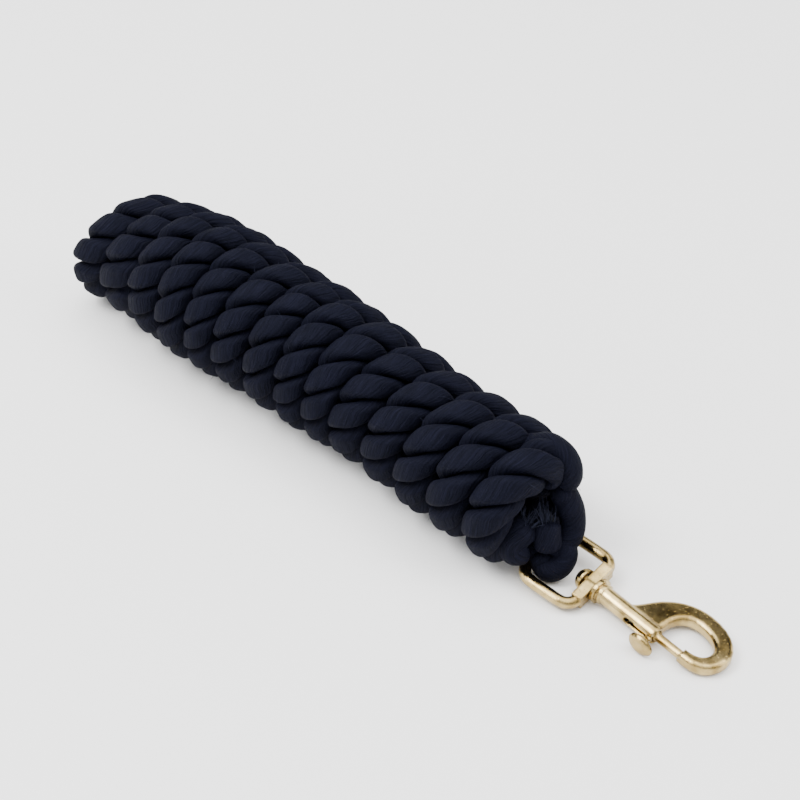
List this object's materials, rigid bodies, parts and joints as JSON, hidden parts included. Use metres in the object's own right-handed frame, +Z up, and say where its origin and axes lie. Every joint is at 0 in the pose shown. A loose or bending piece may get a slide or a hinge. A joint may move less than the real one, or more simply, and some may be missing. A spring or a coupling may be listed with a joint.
{
  "type": "lead rope",
  "caption": "Navy laid lead rope for a horse, wound up as a hank, with a pale brass swivel bolt snap at its end.",
  "frame": {"origin": "on the ground, under the middle of the whole object's box", "axes": "+X along the hank towards the snap's hook, +Z up from the ground that the hank lies on"},
  "size_m": [0.3724, 0.0692, 0.0692],
  "materials": {
    "rope": "laid fibre rope, dark navy, softly matt with a faint silky sheen",
    "snap_metal": "pale brass plating over a casting, polished, with small pits",
    "spring_steel": "bare spring wire"
  },
  "bodies": {
    "hank": {"rope_hank": "rope", "rope_eye": "rope", "splice_end_left": "rope", "splice_end_middle": "rope"},
    "swivel_ring": {"swivel_eye": "snap_metal"},
    "snap": {"snap_body": "snap_metal", "swivel_pin": "snap_metal", "bolt_spring": "spring_steel"},
    "plunger": {"bolt": "snap_metal", "thumb_stud": "snap_metal"}
  },
  "joints": [
    {"name": "eye_lift", "type": "hinge", "parent": "hank", "child": "swivel_ring", "pos_m": [0.09558, -0.0032, 0.0074], "axis": [0.0198, -0.9901, -0.139], "range_deg": [0, 45]},
    {"name": "snap_swivel", "type": "hinge", "parent": "swivel_ring", "child": "snap", "pos_m": [0.12255, -0.00249, 0.00622], "axis": [0.9966, -0.0697, -0.0436], "continuous": true},
    {"name": "bolt_slide", "type": "slide", "parent": "snap", "child": "plunger", "axis": [-0.9966, 0.0697, 0.0436], "range_m": [0, 0.0112], "stiffness_N_per_m": 150, "springref_m": -0.01, "deforming": ["bolt_spring"]}
  ]
}
